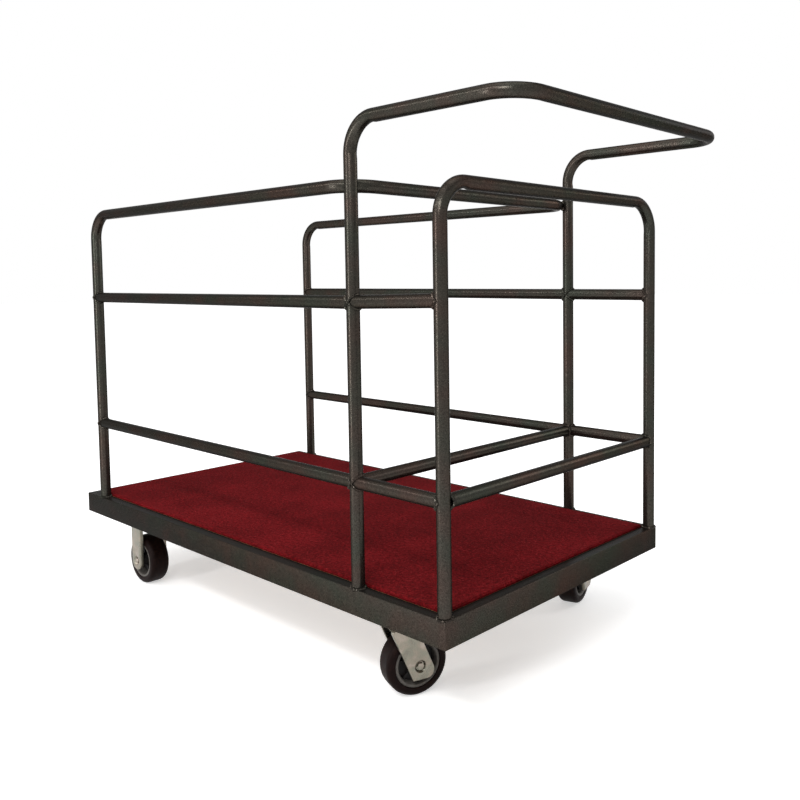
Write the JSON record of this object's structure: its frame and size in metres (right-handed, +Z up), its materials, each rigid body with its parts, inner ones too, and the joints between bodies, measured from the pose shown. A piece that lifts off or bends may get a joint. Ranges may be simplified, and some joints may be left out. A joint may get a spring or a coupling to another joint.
{
  "type": "luggage cart",
  "caption": "Hotel luggage cart with a carpeted platform, welded tube side rails, a raised push handle, two swivel casters and two rigid casters.",
  "frame": {"origin": "on the ground, under the middle of the box round the whole cart with its casters as they stand", "axes": "+X along the platform from its open end to the handle, +Y from the near long side to the far one, +Z up"},
  "size_m": [1.5148, 0.7372, 1.0948],
  "materials": {
    "bronze_powder_coat": "dark bronze-brown fine-textured powder coat, semi-gloss, over welded steel tube",
    "carpet": "deep red needle-punch carpet",
    "plywood": "sealed plywood, seen only from below",
    "zinc_plate": "bright zinc-plated pressed steel",
    "grey_nylon": "moulded grey nylon wheel centre",
    "brown_tread": "dark brown-black moulded tread, satin"
  },
  "bodies": {
    "cart": {"frame_long_rail_near": "bronze_powder_coat", "frame_long_rail_far": "bronze_powder_coat", "frame_end_rail_open": "bronze_powder_coat", "frame_end_rail_handle": "bronze_powder_coat", "cross_member_open": "bronze_powder_coat", "cross_member_middle": "bronze_powder_coat", "cross_member_handle": "bronze_powder_coat", "deck_board": "plywood", "deck_carpet": "carpet", "handle_hoop": "bronze_powder_coat", "top_rail_loop": "bronze_powder_coat", "end_hoop": "bronze_powder_coat", "middle_rail_long_near": "bronze_powder_coat", "middle_rail_short_near": "bronze_powder_coat", "low_rail_long_near": "bronze_powder_coat", "low_rail_short_near": "bronze_powder_coat", "middle_rail_long_far": "bronze_powder_coat", "middle_rail_short_far": "bronze_powder_coat", "low_rail_long_far": "bronze_powder_coat", "low_rail_short_far": "bronze_powder_coat", "low_crossbar_handle": "bronze_powder_coat", "low_crossbar_end": "bronze_powder_coat", "caster_pad_rigid_near": "bronze_powder_coat", "axle_bolt_rigid_near": "zinc_plate", "axle_nut_rigid_near": "zinc_plate", "axle_bush_rigid_near": "zinc_plate", "caster_pad_swivel_near": "bronze_powder_coat", "swivel_plate_near": "zinc_plate", "ball_race_near": "zinc_plate", "kingpin_near": "zinc_plate", "rigid_fork_near": "zinc_plate", "caster_pad_rigid_far": "bronze_powder_coat", "axle_bolt_rigid_far": "zinc_plate", "axle_nut_rigid_far": "zinc_plate", "axle_bush_rigid_far": "zinc_plate", "caster_pad_swivel_far": "bronze_powder_coat", "swivel_plate_far": "zinc_plate", "ball_race_far": "zinc_plate", "kingpin_far": "zinc_plate", "rigid_fork_far": "zinc_plate"},
    "swivel_near": {"axle_bolt_swivel_near": "zinc_plate", "axle_nut_swivel_near": "zinc_plate", "axle_bush_swivel_near": "zinc_plate", "swivel_fork_near": "zinc_plate"},
    "swivel_far": {"axle_bolt_swivel_far": "zinc_plate", "axle_nut_swivel_far": "zinc_plate", "axle_bush_swivel_far": "zinc_plate", "swivel_fork_far": "zinc_plate"},
    "wheel_rigid_near": {"wheel_core_rigid_near": "grey_nylon", "wheel_tread_rigid_near": "brown_tread"},
    "wheel_rigid_far": {"wheel_core_rigid_far": "grey_nylon", "wheel_tread_rigid_far": "brown_tread"},
    "wheel_swivel_near": {"wheel_core_swivel_near": "grey_nylon", "wheel_tread_swivel_near": "brown_tread"},
    "wheel_swivel_far": {"wheel_core_swivel_far": "grey_nylon", "wheel_tread_swivel_far": "brown_tread"}
  },
  "joints": [
    {"name": "swivel_near", "type": "hinge", "parent": "cart", "child": "swivel_near", "pos_m": [0.39265, -0.30048, 0.15], "axis": [0, 0, 1], "continuous": true},
    {"name": "roll_swivel_near", "type": "hinge", "parent": "swivel_near", "child": "wheel_swivel_near", "pos_m": [0.40565, -0.26477, 0.0625], "axis": [-0.9397, 0.342, 0], "continuous": true},
    {"name": "roll_rigid_near", "type": "hinge", "parent": "cart", "child": "wheel_rigid_near", "pos_m": [-0.55735, -0.30048, 0.0625], "axis": [0, 1, 0], "continuous": true},
    {"name": "swivel_far", "type": "hinge", "parent": "cart", "child": "swivel_far", "pos_m": [0.39265, 0.26752, 0.15], "axis": [0, 0, 1], "continuous": true},
    {"name": "roll_swivel_far", "type": "hinge", "parent": "swivel_far", "child": "wheel_swivel_far", "pos_m": [0.38281, 0.30423, 0.0625], "axis": [-0.9659, -0.2588, 0], "continuous": true},
    {"name": "roll_rigid_far", "type": "hinge", "parent": "cart", "child": "wheel_rigid_far", "pos_m": [-0.55735, 0.26752, 0.0625], "axis": [0, 1, 0], "continuous": true}
  ]
}
